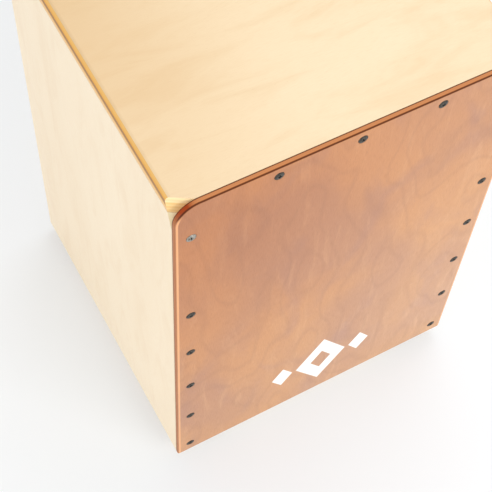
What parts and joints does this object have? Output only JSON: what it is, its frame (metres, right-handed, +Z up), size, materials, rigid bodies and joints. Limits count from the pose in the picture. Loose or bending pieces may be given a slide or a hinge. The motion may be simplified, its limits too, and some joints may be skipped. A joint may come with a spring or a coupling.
{
  "type": "cajon",
  "caption": "Wooden box drum to sit on: ply box with a thin screwed-on stained playing plate, a round sound hole in the back, rubber feet and a fixed snare bar inside.",
  "frame": {"origin": "floor level, midway between the four feet: the bottom centre of the bounding box", "axes": "+Z up to the seat, -Y out of the playing plate, +Y out of the sound hole, X across the width"},
  "size_m": [0.3, 0.3, 0.45],
  "materials": {
    "birch_plywood": "pale birch plywood, clear satin lacquer",
    "stained_birch": "thin birch plywood stained warm brown, satin",
    "spruce_batten": "raw sawn softwood",
    "beech": "raw planed beech",
    "black_screw_steel": "blackened steel, satin",
    "zinc_steel": "bright zinc plate",
    "snare_steel": "drawn steel wire",
    "black_rubber": "moulded matt rubber"
  },
  "bodies": {
    "root": {"back_panel": "birch_plywood", "bottom_panel": "birch_plywood", "cradle_screw_left_1": "zinc_steel", "cradle_screw_left_2": "zinc_steel", "cradle_screw_right_1": "zinc_steel", "cradle_screw_right_2": "zinc_steel", "foot_front_left": "black_rubber", "foot_front_right": "black_rubber", "foot_rear_left": "black_rubber", "foot_rear_right": "black_rubber", "foot_screw_front_left": "zinc_steel", "foot_screw_front_right": "zinc_steel", "foot_screw_rear_left": "zinc_steel", "foot_screw_rear_right": "zinc_steel", "foot_washer_front_left": "zinc_steel", "foot_washer_front_right": "zinc_steel", "foot_washer_rear_left": "zinc_steel", "foot_washer_rear_right": "zinc_steel", "front_batten_bottom": "spruce_batten", "front_batten_left": "spruce_batten", "front_batten_right": "spruce_batten", "front_batten_top": "spruce_batten", "front_plate": "stained_birch", "plate_screw_left_1": "black_screw_steel", "plate_screw_left_2": "black_screw_steel", "plate_screw_left_3": "black_screw_steel", "plate_screw_left_4": "black_screw_steel", "plate_screw_left_5": "black_screw_steel", "plate_screw_left_6": "black_screw_steel", "plate_screw_right_1": "black_screw_steel", "plate_screw_right_2": "black_screw_steel", "plate_screw_right_3": "black_screw_steel", "plate_screw_right_4": "black_screw_steel", "plate_screw_right_5": "black_screw_steel", "plate_screw_right_6": "black_screw_steel", "plate_screw_top_1": "black_screw_steel", "plate_screw_top_2": "black_screw_steel", "plate_screw_top_3": "black_screw_steel", "rear_batten_bottom": "spruce_batten", "rear_batten_left": "spruce_batten", "rear_batten_right": "spruce_batten", "rear_batten_top": "spruce_batten", "seat_panel": "birch_plywood", "side_panel_left": "birch_plywood", "side_panel_right": "birch_plywood", "snare_bar": "beech", "snare_cradle_left": "beech", "snare_cradle_right": "beech", "snare_screw_left_1": "zinc_steel", "snare_screw_left_2": "zinc_steel", "snare_screw_right_1": "zinc_steel", "snare_screw_right_2": "zinc_steel", "snare_wires_left": "snare_steel", "snare_wires_right": "snare_steel"}
  },
  "joints": []
}
